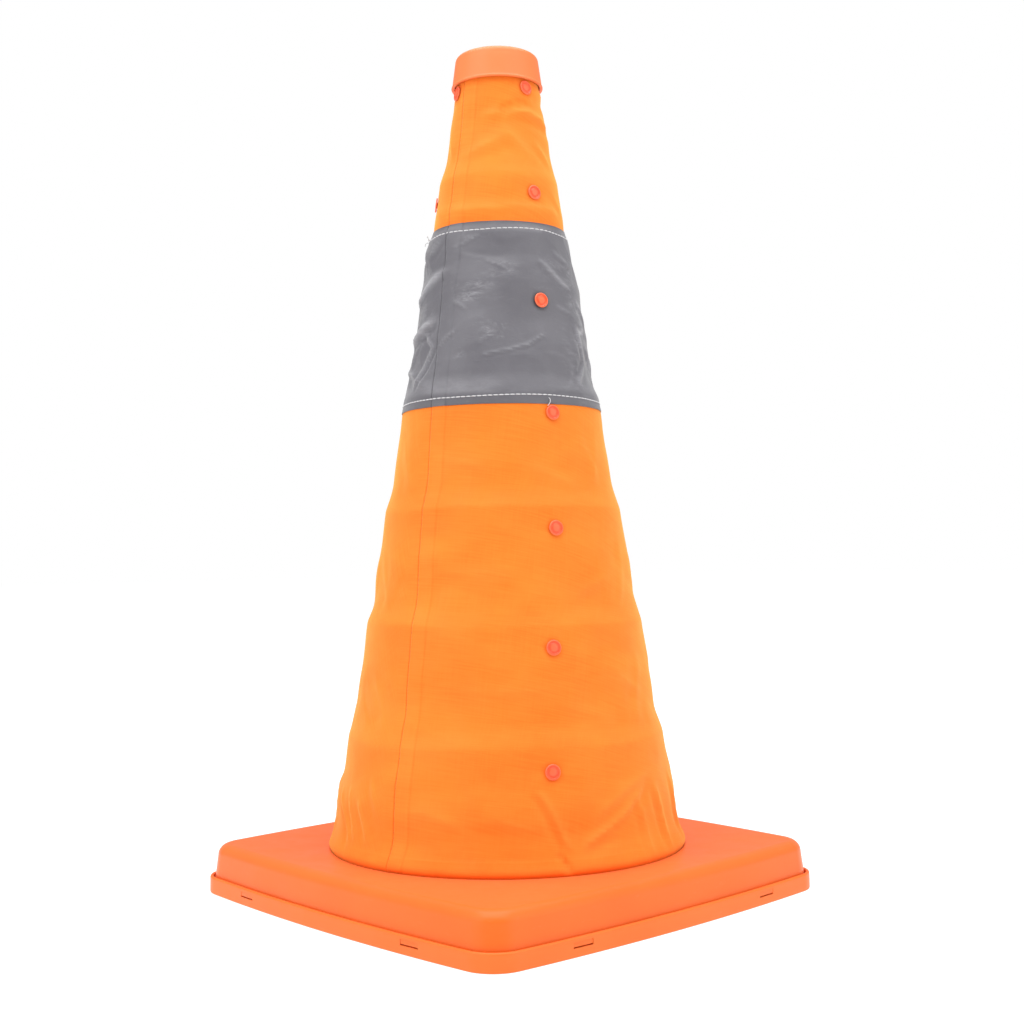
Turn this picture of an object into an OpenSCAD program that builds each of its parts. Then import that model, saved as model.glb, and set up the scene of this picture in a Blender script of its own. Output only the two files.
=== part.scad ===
// Collapsible traffic cone: a square two-part base, seven rings that telescope into each
// other, a fabric sleeve riveted to the rings, a reflective band and a top cap.
// Millimetres. The origin is the centre of the resting face, and +Z runs up the cone's axis.

/* [Rings] */
// Height from one ring's top edge to the next
ring_pitch = 65; // [60:1:70]
// How far each ring's foot stays inside the ring below when the cone is up
ring_overlap = 7; // [6.5:0.1:9]
// Outer radius of the lowest ring's top edge
lowest_ring_r = 91.8; // [91:0.1:92.2]
// How much smaller each ring's radius is than that of the ring below
ring_step = 11.5; // [11.3:0.1:11.7]
// Wall thickness of a ring
ring_wall = 1.8; // [1.4:0.1:1.9]
// How much a ring's radius grows for each millimetre down its wall
ring_taper = 0.128; // [0.12:0.002:0.13]
// Reach of a ring's foot flange, measured out from the radius of its top edge
flange_reach = 9.8; // [9.6:0.1:9.9]
// Height of the foot flange
flange_h = 3.6; // [3:0.1:3.7]

/* [Base] */
// Half the base's width, measured to the middle of a side
base_half = 135.8; // [134:0.2:138]
// Corner radius of the base's outline
base_corner_r = 20; // [18:1:24]
// How many degrees a bowed side turns through between its middle and its corner
side_turn = 5; // [2:0.5:7]
// Height of the base's top face
base_h = 28; // [26:0.5:32]
// Height of the tray's upright rim
rim_h = 9.8; // [9:0.2:12]
// Thickness of the tray's rim
rim_wall = 2; // [1.6:0.1:2.4]
// Thickness of the tray's floor
floor_t = 2.8; // [2:0.1:3.2]
// Thickness of the cover
cover_wall = 2.4; // [2:0.1:2.6]
// How far the cover's side leans in for each millimetre of height
cover_draft = 0.12; // [0.05:0.01:0.2]
// Radius of the rounded edge around the cover's top
cover_round = 6.5; // [4:0.5:8]
// Distance of each snap window from the middle of its side
window_offset = 73; // [60:1:80]
// Width of a snap window
window_w = 13; // [10:0.5:16]

/* [Sleeve] */
// Thickness of the fabric
fabric_t = 0.6; // [0.4:0.1:0.7]
// How far below each ring's top edge the fabric leaves the ring's wall
hug_h = 45; // [40:1:50]
// Thickness of the reflective band
band_t = 0.4; // [0.3:0.1:0.5]
// Height of the band's lower edge
band_bottom = 281; // [280.5:0.5:285]
// Height of the reflective band
band_h = 107; // [100:1:112]

/* [Rivets] */
// Diameter of a rivet's head
rivet_head_d = 8.6; // [7:0.2:9]
// How far each rivet sits below its ring's top edge
rivet_drop = 12; // [10:0.5:14]
// Radius of a rivet's shank
rivet_shank_r = 1.8; // [1.5:0.1:2.2]
// Height of a rivet's domed head
rivet_dome_h = 1; // [0.8:0.1:1.6]

/* [Cap] */
// Radius of the cap's lower edge
cap_r = 27.4; // [27:0.1:29]
// Height of the cap
cap_h = 20; // [18:0.5:24]
// How far the cap's side leans in over its height
cap_draft = 2.6; // [2:0.1:4]
// Radius of the cap's rounded top edge
cap_round = 3.5; // [2:0.5:5]
// How far the cap's skirt reaches below the top ring's top edge
cap_skirt = 7; // [6:0.5:9]

/* [Hidden] */
$fn = 96;

plastic = [1.0, 0.45, 0.2];
ring_plastic = [0.95, 0.42, 0.15];
fabric = [1.0, 0.5, 0.12];
reflective = [0.52, 0.51, 0.54];
rivet_plastic = [0.95, 0.38, 0.24];
steel = [0.7, 0.7, 0.72];

rings = 7;
eps = 0.01;
gap = 0.3;            // clearance between pieces that move past each other
snug = 0.05;          // clearance between pieces that are fixed together

// Rings, counted from the top
function ring_top_z(i) = base_h + ring_pitch * (rings + 1 - i);
function ring_top_r(i) = lowest_ring_r - ring_step * (rings - i);
ring_h = ring_pitch + ring_overlap;
lip_reach = ring_step - 8.8;             // inward reach of a ring's lip, from its outer radius
lip_h = ring_overlap - flange_h - gap;   // a ring's lip ends just above the flange it stops
ring_edge = 0.5;                         // chamfer of a ring's top edge

// Turn of each ring's three rivets about the axis, top ring first
front = -132.5;
rivet_turns = [41, 34, 28.5, 28.5, 24, 18.5, 15];
rivet_left = [109, 120, 133, 133, 130, 124, 120]; // from a ring's first rivet round to its left one

// Fabric
ridge = gap + fabric_t;                  // fabric's outside, measured out from a ring's top edge
head_gap = 0.16;                         // keeps a flat rivet head off the tapering fabric
tail_gap = 0.22;                         // keeps a flat rivet tail off the ring's curved inside
band_ring = 3;                           // the ring whose rivets go through the band
hug_taper = 0.134;                       // slope of the fabric where it lies along a ring's wall
hem_top = 34;
hem_r = 103.6;                           // outer radius of the hem where it enters the base
hem_roll = 0.9;                          // how far the hem's roll stands out past hem_r

// Base
foot_inset = rim_wall + 0.4;             // the cover's foot, inward from the base's outline
cover_foot_z = 4.8;
corner_keep = 0.7;                       // how fast a corner's radius shrinks as an outline moves in
mouth_r = hem_r + snug + 0.25;
collar_r = 114;
clamp_z = 22.2;                          // underside of the hem where it is clamped
clamp_t = 2.5;
boss_xy = 104;
boss_r = 4.5;
screw_r = 1.6;
screw_head_r = 3.4;
screw_head_h = 2;
clamp_screw_ring_r = 108.6;
window_z = 4.6;
window_h = 3;
hook_reach = 1.7;

// Outline of a square with bowed sides and round corners, inset from the base's own outline
function outline_corner_r(inset) = base_corner_r - corner_keep * inset;
function corner_centre(inset) =
    (base_half - inset - outline_corner_r(inset)) / (1 + tan(side_turn / 2));
function side_r(inset) =
    (corner_centre(inset) + outline_corner_r(inset) * sin(side_turn)) / sin(side_turn);
side_steps = 8;
corner_steps = 12;
function side_points(inset) = [for (k = [0 : side_steps])
    let (a = side_turn * (2 * k / side_steps - 1))
    [base_half - inset - side_r(inset) * (1 - cos(a)), side_r(inset) * sin(a)]];
function corner_points(inset) = [for (k = [1 : corner_steps - 1])
    let (a = side_turn + (90 - 2 * side_turn) * k / corner_steps)
    [corner_centre(inset) + outline_corner_r(inset) * cos(a),
     corner_centre(inset) + outline_corner_r(inset) * sin(a)]];
function turned(p, a) = [p.x * cos(a) - p.y * sin(a), p.x * sin(a) + p.y * cos(a)];
function outline(inset) = [for (q = [0 : 3])
    for (p = concat(side_points(inset), corner_points(inset))) turned(p, 90 * q)];

// Closed solid through outlines that are given as [inset, z] pairs from the bottom up
module loft(levels) {
    n = len(outline(0));
    last = len(levels) - 1;
    points = [for (level = levels) for (p = outline(level[0])) [p.x, p.y, level[1]]];
    sides = [for (i = [0 : last - 1]) for (k = [0 : n - 1])
        let (next = (k + 1) % n)
        each [[i * n + k, (i + 1) * n + k, (i + 1) * n + next],
              [i * n + k, (i + 1) * n + next, i * n + next]]];
    bottom = [for (k = [0 : n - 1]) k];
    top = [for (k = [n - 1 : -1 : 0]) last * n + k];
    polyhedron(points, concat(sides, [bottom, top]));
}

// Levels of the cover's side: leaning in, then rounding over to the top
round_steps = 6;
function cover_levels(foot_inset, foot_z, top_z, radius) = concat(
    [[foot_inset, foot_z]],
    [for (k = [0 : round_steps])
        let (a = 90 * k / round_steps, lean = (top_z - radius - foot_z) * cover_draft)
        [foot_inset + lean + radius * (1 - cos(a)), top_z - radius * (1 - sin(a))]]);

// Repeats its child at both snap windows of all four sides, with +X pointing out of the rim
module at_windows() {
    for (q = [0 : 3]) for (s = [-1, 1])
        rotate(90 * q)
            translate([base_half - side_r(0), 0, 0])
                rotate(s * asin(window_offset / side_r(0)))
                    translate([side_r(0), 0, 0])
                        children();
}

module at_corners() {
    for (x = [-1, 1]) for (y = [-1, 1]) translate([x * boss_xy, y * boss_xy, 0]) children();
}

module at_clamp_screws() {
    for (k = [0 : 5]) rotate(60 * k + 15) translate([clamp_screw_ring_r, 0, 0]) children();
}

module base_tray() {
    rim_edge = 1;
    pocket_inset = rim_wall;
    color(plastic) difference() {
        loft([[rim_edge * 0.6, 0], [0, rim_edge], [0.1, rim_h - rim_edge],
              [0.4, rim_h - 0.3 * rim_edge], [rim_edge, rim_h]]);
        loft([[pocket_inset, floor_t], [pocket_inset, rim_h + 1]]);
        at_windows() translate([-rim_wall - 1, -window_w / 2, window_z])
            cube([rim_wall + 2, window_w, window_h]);
        at_corners() {
            translate([0, 0, -1]) cylinder(r = screw_r + 0.2, h = floor_t + 2);
            translate([0, 0, -eps]) cylinder(r = screw_head_r + 0.2, h = screw_head_h - 0.4);
        }
    }
}

module base_cover() {
    boss_foot = floor_t + snug;
    hook_z = window_z + 0.6;
    hook_h = window_h - 0.7;
    color(plastic) difference() {
        union() {
            difference() {
                loft(cover_levels(foot_inset, cover_foot_z, base_h, cover_round));
                loft(cover_levels(foot_inset + cover_wall, cover_foot_z - 1, base_h - cover_wall,
                    cover_round - 1));
            }
            translate([0, 0, clamp_z + fabric_t + snug])
                cylinder(r = collar_r, h = base_h - clamp_z - fabric_t - snug - eps, $fn = 192);
            at_corners() translate([0, 0, boss_foot]) cylinder(r = boss_r, h = base_h - boss_foot - 1);
            at_windows() translate([-foot_inset - 1.5, -window_w / 2 + 0.3, hook_z])
                cube([1.5 + foot_inset - rim_wall + hook_reach, window_w - 1, hook_h]);
        }
        translate([0, 0, clamp_z - 1]) cylinder(r = mouth_r, h = base_h, $fn = 192);
        at_corners() translate([0, 0, boss_foot - 1]) cylinder(r = screw_r, h = 16);
        at_clamp_screws() translate([0, 0, clamp_z]) cylinder(r = screw_r, h = 4);
    }
}

// Section of the clamp ring: a lip that stops the lowest ring, a wall inside the hem, a flange below
module hem_clamp_ring() {
    lip_r = lowest_ring_r + ring_step - lip_reach;
    wall_r = hem_r - fabric_t - snug;
    well_r = lowest_ring_r + flange_reach + gap;
    lip_z = base_h - lip_h - 0.1;
    flange_z = clamp_z - snug - clamp_t;
    color(plastic) difference() {
        rotate_extrude($fn = 192) polygon([
            [lip_r, lip_z], [lip_r, base_h - 0.8], [lip_r + 0.4, base_h - 0.4],
            [wall_r, base_h - 0.4], [wall_r, clamp_z - snug], [collar_r, clamp_z - snug],
            [collar_r, flange_z], [well_r, flange_z], [well_r, lip_z]]);
        at_clamp_screws() translate([0, 0, flange_z - 1]) cylinder(r = screw_r + 0.2, h = clamp_t + 2);
    }
}

// Pan-head screw, its head's seat at z = 0 and its shank up along +Z
module screw(length) {
    difference() {
        union() {
            translate([0, 0, -screw_head_h]) cylinder(r1 = screw_head_r - 0.5, r2 = screw_head_r,
                h = screw_head_h);
            cylinder(r = screw_r - 0.02, h = length);
        }
        for (a = [0, 90]) rotate(a) translate([-2, -0.4, -screw_head_h - 1]) cube([4, 0.8, 2]);
    }
}

module clamp_screws() {
    seat = clamp_z - snug - clamp_t;
    color(steel) at_clamp_screws() translate([0, 0, seat - 0.02]) screw(clamp_z + 3.6 - seat);
}

module base_screws() {
    seat = screw_head_h - 0.4 - eps;
    color(steel) at_corners() translate([0, 0, seat - 0.02]) difference() {
        union() {
            translate([0, 0, -seat + 0.2]) cylinder(r = screw_head_r, h = seat - 0.2);
            cylinder(r = screw_r - 0.02, h = 14);
        }
        for (a = [0, 90]) rotate(a) translate([-2, -0.4, -seat]) cube([4, 0.8, 0.8]);
    }
}

// Fabric hem: a small roll on the base, then down the mouth and out under the cover
module hem() {
    tail = fabric_t;
    roll_z = base_h + 2.8;
    color(fabric) difference() {
        rotate_extrude($fn = 192) polygon(concat(
            [[hem_r - tail, clamp_z + tail], [hem_r - tail, base_h + 0.4],
             [hem_r - tail - 0.3, roll_z], [hem_r - tail - 0.3, hem_top - 0.15],
             [hem_r - 0.3, hem_top - 0.15]],
            [for (k = [0 : 6]) let (a = 90 - 30 * k)
                [hem_r - 0.1 + hem_roll * max(0, cos(a)), roll_z + 2.2 * sin(a)]],
            [[hem_r, base_h + 0.3], [hem_r, clamp_z + tail], [collar_r - 1, clamp_z + tail],
             [collar_r - 1, clamp_z], [hem_r - tail, clamp_z]]));
        at_clamp_screws() translate([0, 0, clamp_z - 1]) cylinder(r = screw_r + 0.1, h = 3);
    }
}

// Ring i: a tapered wall with an inward lip at its top and an outward flange at its foot
module ring(i) {
    r = ring_top_r(i);
    z = ring_top_z(i);
    foot = z - ring_h;
    wall_foot_r = r + ring_taper * ring_h;
    lip_r = r - lip_reach;
    color(ring_plastic) difference() {
        rotate_extrude() polygon([
            [lip_r, z - lip_h], [lip_r, z - ring_edge], [lip_r + ring_edge, z],
            [r - ring_edge, z], [r, z - ring_edge],
            [wall_foot_r - ring_taper * flange_h, foot + flange_h],
            [r + flange_reach, foot + flange_h], [r + flange_reach, foot],
            [wall_foot_r - ring_wall, foot],
            [r - ring_wall + ring_taper * lip_h, z - lip_h]]);
        at_rivets(i) cylinder(r = rivet_shank_r + snug, h = 20, center = true);
    }
}

// Repeats its child at ring i's three rivets, on the wall's outer face with +Z pointing out of it
module at_rivets(i) {
    lean = atan(ring_taper);
    left = rivet_left[i - 1];
    for (turn = [0, (360 - left) / 2, 360 - left])
        rotate([0, 0, front + rivet_turns[i - 1] + turn])
            translate([ring_top_r(i) + ring_taper * rivet_drop, 0, ring_top_z(i) - rivet_drop])
                rotate([0, 90 - lean, 0])
                    children();
}

// Rivets of ring i: a domed head on the fabric, a shank, and a thin upset tail inside the wall
module rivets(i) {
    under_head = ridge + head_gap + (i == band_ring ? band_t + snug : 0);
    tail_r = 2.9;
    tail_h = 0.8;
    head_r = rivet_head_d / 2;
    inside = -ring_wall - tail_gap;
    color(rivet_plastic) at_rivets(i) rotate_extrude($fn = 32) polygon(concat(
        [[0, inside - tail_h], [tail_r - 0.3, inside - tail_h], [tail_r, inside - 0.3],
         [tail_r, inside], [rivet_shank_r, inside], [rivet_shank_r, under_head],
         [head_r, under_head]],
        [for (k = [0 : 5]) let (a = 15 * k)
            [head_r * cos(a), under_head + 0.5 + (rivet_dome_h - 0.5) * sin(a)]],
        [[0, under_head + rivet_dome_h]]));
}

// Radius of the fabric's outside at height z on the stretch below ring i
function knee_r(i) = ring_top_r(i) + ridge + hug_taper * hug_h;
function knee_z(i) = ring_top_z(i) - hug_h;
function next_ridge_r(i) = ring_top_r(i) + ridge + ring_step;
function sleeve_r(i, z) = z > knee_z(i)
    ? ring_top_r(i) + ridge + hug_taper * (ring_top_z(i) - z)
    : knee_r(i) + (next_ridge_r(i) - knee_r(i)) * (knee_z(i) - z) / (ring_pitch - hug_h);

// Thin shell along the sleeve below ring i, from z_top to z_low, between two offsets from its face
module fabric_shell(i, z_top, z_low, outer, thickness) {
    zs = concat([z_top], knee_z(i) < z_top && knee_z(i) > z_low ? [knee_z(i)] : [], [z_low]);
    n = len(zs);
    rotate_extrude() polygon(concat(
        [for (z = zs) [sleeve_r(i, z) + outer, z]],
        [for (k = [n - 1 : -1 : 0]) [sleeve_r(i, zs[k]) + outer - thickness, zs[k]]]));
}

module sleeve(i) {
    half_gap = gap / 2;
    low = i == rings ? hem_top + half_gap : ring_top_z(i + 1) + half_gap;
    color(fabric) difference() {
        fabric_shell(i, ring_top_z(i) - half_gap, low, 0, fabric_t);
        at_rivets(i) cylinder(r = rivet_shank_r + snug, h = 20, center = true);
    }
}

// The stretch of the reflective band that lies on sleeve i
module band_piece(i) {
    z_top = min(band_bottom + band_h, ring_top_z(i) - gap / 2);
    z_low = max(band_bottom, ring_top_z(i + 1) + gap / 2);
    color(reflective) difference() {
        fabric_shell(i, z_top, z_low, snug + band_t, band_t);
        at_rivets(i) cylinder(r = rivet_shank_r + snug, h = 20, center = true);
    }
}

module cap() {
    top = ring_top_z(1) - cap_skirt + cap_h;
    low = ring_top_z(1) - cap_skirt;
    wall = 1.8;
    lip_r = ring_top_r(1) - lip_reach;
    spigot_r = lip_r - 0.1;
    spigot_wall = 1.6;
    bead_r = lip_r + 0.9;
    bead_z = ring_top_z(1) - lip_h - 0.1;
    seat_z = ring_top_z(1) + 0.2;
    side_top_r = cap_r - cap_draft;
    color(plastic) {
        rotate_extrude() polygon(concat(
            [[0, top - wall], [side_top_r - cap_round, top - wall],
             [side_top_r - wall, top - cap_round], [cap_r - wall, low], [cap_r - 0.4, low],
             [cap_r, low + 0.4], [cap_r - 0.1, low + 1.2], [cap_r - 0.5, low + 1.6]],
            [for (k = [0 : 6]) let (a = 15 * k)
                [side_top_r - cap_round * (1 - cos(a)), top - cap_round * (1 - sin(a))]],
            [[0, top]]));
        rotate_extrude() polygon([
            [spigot_r - spigot_wall, bead_z - 4], [spigot_r - spigot_wall, top - wall + eps],
            [spigot_r, top - wall + eps], [spigot_r, bead_z], [bead_r, bead_z - 0.6],
            [bead_r, bead_z - 1.6], [spigot_r, bead_z - 4]]);
        for (k = [0 : 5]) rotate(60 * k)
            translate([spigot_r - 0.3, -0.8, seat_z]) cube([3.4, 1.6, top - wall - seat_z + eps]);
    }
}

base_tray();
base_cover();
hem_clamp_ring();
clamp_screws();
base_screws();
hem();
ring(1);  // ring_1
ring(2);  // ring_2
ring(3);  // ring_3
ring(4);  // ring_4
ring(5);  // ring_5
ring(6);  // ring_6
ring(7);  // ring_7
cap();
rivets(1);  // rivets_1
rivets(2);  // rivets_2
rivets(3);  // rivets_3
rivets(4);  // rivets_4
rivets(5);  // rivets_5
rivets(6);  // rivets_6
rivets(7);  // rivets_7
sleeve(1);  // sleeve_1
sleeve(2);  // sleeve_2
sleeve(3);  // sleeve_3
sleeve(4);  // sleeve_4
sleeve(5);  // sleeve_5
sleeve(6);  // sleeve_6
sleeve(7);  // sleeve_7
band_piece(2);  // band_upper
band_piece(3);  // band_middle
band_piece(4);  // band_lower
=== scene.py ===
import math

import bmesh
import bpy
import numpy as np
from mathutils import Matrix, Vector


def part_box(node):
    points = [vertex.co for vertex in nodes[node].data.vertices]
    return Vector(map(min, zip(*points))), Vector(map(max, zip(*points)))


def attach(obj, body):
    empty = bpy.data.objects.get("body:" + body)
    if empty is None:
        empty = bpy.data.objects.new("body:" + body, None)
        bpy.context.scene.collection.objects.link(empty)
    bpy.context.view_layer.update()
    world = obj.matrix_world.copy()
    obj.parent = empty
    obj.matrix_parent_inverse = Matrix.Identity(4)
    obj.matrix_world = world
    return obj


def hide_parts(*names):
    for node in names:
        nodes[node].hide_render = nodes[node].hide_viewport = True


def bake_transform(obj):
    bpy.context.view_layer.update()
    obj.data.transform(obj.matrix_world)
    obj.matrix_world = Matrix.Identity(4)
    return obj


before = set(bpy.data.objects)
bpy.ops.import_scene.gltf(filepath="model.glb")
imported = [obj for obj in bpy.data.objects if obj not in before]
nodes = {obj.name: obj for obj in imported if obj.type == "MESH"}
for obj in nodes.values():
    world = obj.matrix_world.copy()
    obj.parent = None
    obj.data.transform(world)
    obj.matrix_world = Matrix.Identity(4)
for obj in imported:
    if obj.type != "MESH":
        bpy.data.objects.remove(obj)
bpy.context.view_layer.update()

# Collapsible traffic cone. Lengths are millimetres and angles are degrees unless a name says
# otherwise; meshes are scaled to metres as they are made.
MM = 0.001
scene = bpy.context.scene

# ---- sizes shared with the CAD
RINGS = 7
PITCH = 65.0         # from one ring's top to the next
STEP = 11.5          # how much wider each ring is than the one above
LOWEST_R = 91.8
BASE_H = 28.0
TAPER = 0.128        # a ring wall's slope
RIVET_DROP = 12.0    # rivets below their ring's top
FRONT = -132.5       # bearing of azimuth 0
RIVET_TURNS = [41, 34, 28.5, 28.5, 24, 18.5, 15]
RIVET_LEFT = [109, 120, 133, 133, 130, 124, 120]    # from a ring's first rivet round to its left one
BAND_LOW = 281.0
BAND_TOP = 388.0
BAND_RING = 3
FABRIC_T = 0.45
BASE_HALF = 135.8
CORNER_R = 20.0
CORNER_KEEP = 0.7    # share of an inset that its corners' radius gives up
SIDE_TURN = 5.0      # half the angle that a bowed side turns through
WINDOW_OFFSET = 73.0
WINDOW_W = 13.0
MOUTH_R = 103.9


RING_Z = {i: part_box("ring_%d" % i)[1].z / MM for i in range(1, RINGS + 1)}


def ring_r(i):
    return LOWEST_R - STEP * (RINGS - i)


# ---- small maths
def smooth(lo, hi, x):
    t = np.clip((x - lo) / (hi - lo), 0.0, 1.0)
    return t * t * (3 - 2 * t)


def plateau(x, rise, risen, fall, fallen):
    """0, then 1 between risen and fall, then 0 again."""
    return smooth(rise, risen, x) * (1 - smooth(fall, fallen, x))


def bump(x, centre, width):
    return np.exp(-((x - centre) / width) ** 2)


def wrap(a):
    return (a + 180.0) % 360.0 - 180.0


def turned(points, degrees):
    """Points turned about Z, their heights kept."""
    t = math.radians(degrees)
    out = np.array(points, float)
    out[:, :2] = out[:, :2] @ np.array([[math.cos(t), math.sin(t)], [-math.sin(t), math.cos(t)]])
    return out


class Field:
    """Smooth seeded noise over points in space: a sum of plane waves, about -1 to 1."""

    def __init__(self, seed, wavelength, stretch=(1, 1, 1), count=26):
        rng = np.random.RandomState(seed)
        d = rng.normal(size=(count, 3))
        d /= np.linalg.norm(d, axis=1)[:, None]
        k = 2 * math.pi / (wavelength * rng.uniform(0.7, 1.5, count))
        self.k = d * k[:, None] / np.array(stretch)
        self.phase = rng.uniform(0, 2 * math.pi, count)
        self.gain = 1.0 / math.sqrt(count)

    def __call__(self, x, y, z):
        total = np.zeros(np.broadcast(x, y, z).shape)
        for (kx, ky, kz), p in zip(self.k, self.phase):
            total += np.cos(kx * x + ky * y + kz * z + p)
        return total * self.gain


# ---- mesh building
def added(name, data):
    obj = bpy.data.objects.new(name, data)
    scene.collection.objects.link(obj)
    return obj


def crisp(obj, angle):
    """Keeps edges that bend more than angle sharp, and evens out the normals of the rest."""
    obj.data.set_sharp_from_angle(angle=math.radians(angle))
    obj.modifiers.new("even_normals", "WEIGHTED_NORMAL").keep_sharp = True
    return obj


def mesh_piece(name, verts, faces, sharp=None):
    """A smooth-shaded object from millimetre points; sharp is the angle where its edges stay crisp."""
    mesh = bpy.data.meshes.new(name)
    mesh.from_pydata((np.asarray(verts, float) * MM).tolist(), [], faces)
    mesh.polygons.foreach_set("use_smooth", [True] * len(mesh.polygons))
    mesh.update()
    obj = added(name, mesh)
    return obj if sharp is None else crisp(obj, sharp)


def point_attribute(mesh, name, values):
    attribute = mesh.attributes.new(name, "FLOAT", "POINT")
    attribute.data.foreach_set("value", np.asarray(values, np.float32).ravel())


def loop_faces(rows, n, first=0, closed=False):
    """Quads between successive loops of n points; closed also joins the last loop to the first."""
    faces = []
    for i in range(rows if closed else rows - 1):
        low, high = first + i * n, first + (i + 1) % rows * n
        faces += [(low + k, low + (k + 1) % n, high + (k + 1) % n, high + k) for k in range(n)]
    return faces


def rod_faces(rows, n, first=0):
    """The same quads, with a flat face over each end."""
    last = first + (rows - 1) * n
    ends = [tuple(range(first + n - 1, first - 1, -1)), tuple(range(last, last + n))]
    return loop_faces(rows, n, first) + ends


def lathe(profile, steps=96, closed=False):
    """Points and faces of a profile of (radius, z) turned about Z, going up its outside.
    Where an end lies on the axis it is closed with a fan; closed joins the last point to the first."""
    start_pole = profile[0][0] < 1e-6
    end_pole = profile[-1][0] < 1e-6
    body = [p for p in profile if p[0] > 1e-6]
    angles = np.linspace(0, 2 * math.pi, steps, endpoint=False)
    verts = [(r * math.cos(a), r * math.sin(a), z) for r, z in body for a in angles]
    rows = len(body)
    faces = loop_faces(rows, steps, closed=closed)
    if start_pole:
        verts.append((0, 0, profile[0][1]))
        faces += [(len(verts) - 1, (k + 1) % steps, k) for k in range(steps)]
    if end_pole:
        verts.append((0, 0, profile[-1][1]))
        low = (rows - 1) * steps
        faces += [(len(verts) - 1, low + k, low + (k + 1) % steps) for k in range(steps)]
    return np.array(verts, float), faces


def joined(parts):
    """One list of points and faces from several."""
    verts, faces, first = [], [], 0
    for v, f in parts:
        verts.append(np.asarray(v, float))
        faces += [tuple(int(i) + first for i in face) for face in f]
        first += len(v)
    return np.concatenate(verts), faces


def placed(part, axis_z, origin):
    """A part turned so that its Z runs along axis_z, and moved to origin."""
    turn = Vector(axis_z).to_track_quat("Z", "Y").to_matrix()
    v = np.asarray(part[0]) @ np.array(turn).T + np.array(origin)
    return v, part[1]


def rounded(before, corner, after, radius):
    """Points round a profile's corner, which lies between the points before and after it."""
    p = np.array(corner, float)
    a, b = (np.array(q) - p for q in (before, after))
    a, b = a / np.linalg.norm(a), b / np.linalg.norm(b)
    return [tuple(p + radius * ((1 - t) ** 2 * a + t ** 2 * b)) for t in np.linspace(0, 1, 5)]


# ---- materials
class Nodes:
    """Short calls for building a node tree."""

    def __init__(self, name=None, tree=None):
        if tree is None:
            self.mat = bpy.data.materials.new(name)
            self.mat.use_nodes = True
            tree = self.mat.node_tree
            self.shader = tree.nodes["Principled BSDF"]
        self.tree = tree

    def new(self, kind, **props):
        n = self.tree.nodes.new(kind)
        for key, value in props.items():
            setattr(n, key, value)
        return n

    def wire(self, source, target):
        self.tree.links.new(source, target)

    def value(self, socket, v):
        if isinstance(v, bpy.types.NodeSocket):
            self.wire(v, socket)
        else:
            socket.default_value = v

    def put(self, n, **values):
        """Wires or sets a node's inputs by name, with _ for a space."""
        for key, v in values.items():
            self.value(n.inputs[key.replace("_", " ")], v)
        return n

    def math(self, op, a, b=0.0, clamp=False):
        n = self.new("ShaderNodeMath", operation=op, use_clamp=clamp)
        self.value(n.inputs[0], a)
        self.value(n.inputs[1], b)
        return n.outputs[0]

    def times(self, a, b):
        return self.math("MULTIPLY", a, b)

    def coords(self, scale=(1, 1, 1), uv=None, turn=(0, 0, 0)):
        if uv:
            source = self.new("ShaderNodeUVMap", uv_map=uv).outputs[0]
        else:
            source = self.new("ShaderNodeTexCoord").outputs["Object"]
        m = self.new("ShaderNodeMapping")
        return self.put(m, Vector=source, Scale=scale, Rotation=turn).outputs[0]

    def noise(self, vector, scale, detail=3, rough=0.55, distortion=0):
        n = self.new("ShaderNodeTexNoise")
        self.put(n, Vector=vector, Scale=scale, Detail=detail, Roughness=rough, Distortion=distortion)
        return n.outputs[0]

    def span(self, v, low, high, to_low=0.0, to_high=1.0):
        n = self.new("ShaderNodeMapRange", clamp=True)
        self.put(n, Value=v, From_Min=low, From_Max=high, To_Min=to_low, To_Max=to_high)
        return n.outputs["Result"]

    def attribute(self, name):
        return self.new("ShaderNodeAttribute", attribute_name=name).outputs["Fac"]

    def mix(self, factor, a, b, blend="MIX"):
        n = self.new("ShaderNodeMix", data_type="RGBA", blend_type=blend)
        self.value(n.inputs[0], factor)
        for socket, v in ((n.inputs[6], a), (n.inputs[7], b)):
            self.value(socket, v if isinstance(v, bpy.types.NodeSocket) else (*v, 1.0))
        return n.outputs[2]

    def bump(self, height, distance, strength=1.0, normal=None):
        n = self.put(self.new("ShaderNodeBump"), Distance=distance, Strength=strength, Height=height)
        if normal is not None:
            self.wire(normal, n.inputs["Normal"])
        return n.outputs[0]

    def finish(self, colour, roughness, normal=None, **fixed):
        self.put(self.shader, Base_Color=colour, Roughness=roughness, **fixed)
        if normal is not None:
            self.wire(normal, self.shader.inputs["Normal"])
        return self.mat


def plastic(name, colour, deep, rough=0.36, grain=2600.0, spec=0.35, scuff=0.5, sheen=0.0):
    """Moulded plastic: slow mottling, fine grain, and faint lighter handling scuffs."""
    n = Nodes(name)
    here = n.coords()
    slow = n.span(n.noise(here, 16, 3), 0.32, 0.68)
    base = n.mix(slow, deep, colour)
    rub = n.span(n.noise(n.coords((1, 1, 3.5)), 70, 6, 0.72), 0.60, 0.80)
    light = tuple(min(1.0, c + 0.05) for c in colour)
    base = n.mix(n.times(rub, scuff), base, light)
    fine = n.noise(here, grain, 2)
    middle = n.noise(here, 420, 3)
    r = n.math("ADD", n.span(n.noise(here, 45, 4), 0.3, 0.7, rough - 0.05, rough + 0.07),
               n.times(rub, 0.08))
    normal = n.bump(middle, 0.00005, 0.5, n.bump(fine, 0.00002, 0.5))
    return n.finish(base, r, normal, Specular_IOR_Level=spec, Sheen_Weight=sheen)


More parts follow.
